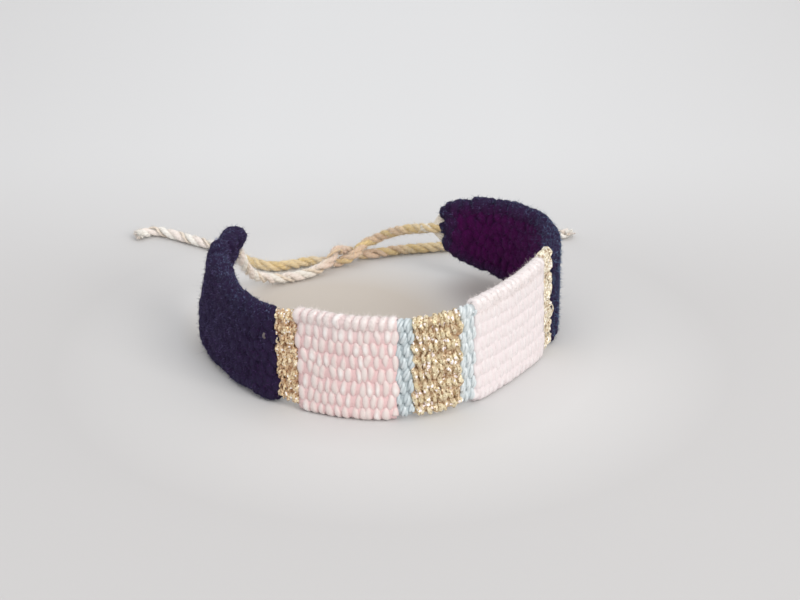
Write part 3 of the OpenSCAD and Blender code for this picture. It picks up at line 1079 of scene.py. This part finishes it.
finishes = {
    "navy": wool("navy wool", light=(0.030, 0.020, 0.058), deep=(0.019, 0.006, 0.028),
                 shadeTintAndGold=(0.070, 0.003, 0.065)),
    "lint": lintFinish("navy lint", colour=(0.053, 0.040, 0.116), pale=(0.142, 0.152, 0.270),
                       shade=(0.058, 0.010, 0.080), shadeTintAndGold=(0.130, 0.004, 0.122),
                       litFringe=(0.135, 0.195, 0.310), uneven=0.8, tealLight=(0.07, 0.15, 0.25)),
    "gold": lurex("gold lurex", bright=(0.86, 0.775, 0.575), dark=(0.65, 0.52, 0.29),
                  deep=(0.34, 0.18, 0.09), glint=(1.0, 0.92, 0.92), cells=1600),
    "foil": lurex("gold foil", bright=(0.95, 0.85, 0.62), dark=(0.68, 0.47, 0.23), deep=(0.45, 0.22, 0.11),
                  glint=(1.0, 0.95, 0.92), cells=2400),
    "foilLit": lurex("lit gold foil", bright=(0.90, 0.86, 0.73), dark=(0.70, 0.60, 0.41),
                      deep=(0.46, 0.31, 0.19), glint=(1.0, 0.98, 0.95), cells=2400),
    "pink": satinCotton("pink cotton", light=(0.74, 0.645, 0.61), deep=(0.745, 0.505, 0.498),
                        gleam=(0.78, 0.72, 0.685), slim=1.8, highlightTips=0.6, line=0.5, paleTop=0.4),
    "pinkLit": satinCotton("lit pink cotton", light=(0.76, 0.69, 0.685), deep=(0.76, 0.675, 0.675),
                            gleam=(0.79, 0.735, 0.73), paleTop=0.4),
    "blue": satinCotton("blue cotton", light=(0.535, 0.605, 0.625), deep=(0.40, 0.46, 0.48),
                        gleam=(0.76, 0.81, 0.82)),
    "blueLit": satinCotton("lit blue cotton", light=(0.62, 0.67, 0.68), deep=(0.52, 0.575, 0.59),
                            gleam=(0.80, 0.84, 0.84)),
    "cord": cordCotton("cord cotton", cream=(0.90, 0.865, 0.80), blush=(0.87, 0.78, 0.72),
                       rose=(0.66, 0.455, 0.34), gold=(0.70, 0.53, 0.265), navyShade=(0.03, 0.02, 0.05)),
    "cordLint": lintFinish("cream lint", colour=(0.87, 0.84, 0.79), pale=(0.93, 0.91, 0.88),
                           shade=(0.85, 0.81, 0.74), shadeTintAndGold=(0.72, 0.57, 0.33), litFringe=(0.87, 0.84, 0.79)),
    "pinkLint": lintFinish("pink lint", colour=(0.90, 0.79, 0.76), pale=(0.92, 0.86, 0.83),
                           shade=(0.90, 0.80, 0.77), shadeTintAndGold=(0.90, 0.79, 0.76), litFringe=(0.93, 0.87, 0.85)),
    "floor": floorFinish("pale floor", warmBounce=(0.535, 0.48, 0.42), near=(0.625, 0.616, 0.608),
                         plain=(0.532, 0.521, 0.514), litBack=(0.635, 0.635, 0.635), paintedShadow=(0.44, 0.40, 0.38)),
}


def dress(piece, kind, *nodes):
    piece.data.materials.clear()
    piece.data.materials.append(finishes[kind])
    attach(piece, "root")
    if nodes:
        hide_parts(*nodes)


# The right-hand sections, which face the lamp, take lit copies of their finishes, a painted light
special = {
    "gold_stripe_left": "foil", "gold_stripe_right": "foilLit", "pink_panel_right": "pinkLit",
    "blue_stripe_right": "blueLit",
}
for name, (piece, _) in weaves.items():
    dress(piece, special.get(name, name.split("_")[0]), name)
lints = {"wool": "lint", "cord": "cordLint", "fan": "cordLint", "pink": "pinkLint"}
for name, piece in fuzzPieces.items():
    dress(piece, lints[name.split("_")[0]])
dress(warps, "cord")
for piece, _ in tufts.values():
    dress(piece, "cord")
for side, (piece, line, length, _) in tiePieces.items():
    dress(piece, "cord", "tie_" + side)
print("finishes on")

# Floor and light

studio = {
    "floorSize": 3.0,
    "world": {"Color": (0.97, 0.98, 1.0, 1), "Strength": 1.0},
    "window": {"size": 0.8, "energy": 12, "color": (1.0, 0.97, 0.94)},
    "windowPlace": (0.85, -0.95, 0.85),
}
bpy.ops.object.select_all(action="DESELECT")
bpy.ops.mesh.primitive_plane_add(size=studio["floorSize"])
floor = bpy.context.object
floor.name = "floor"
floor.data.materials.append(finishes["floor"])
world = bpy.data.worlds.new("studio")
bpy.context.scene.world = world
world.use_nodes = True
for key, value in studio["world"].items():
    world.node_tree.nodes["Background"].inputs[key].default_value = value
aim = (-Vector(studio["windowPlace"])).to_track_quat("-Z", "Y").to_euler()
bpy.ops.object.light_add(type="AREA", location=studio["windowPlace"], rotation=aim)
window = bpy.context.object
window.name = "window"
for key, value in studio["window"].items():
    setattr(window.data, key, value)
bpy.context.scene.view_settings.view_transform = "Standard"
print("studio lit")
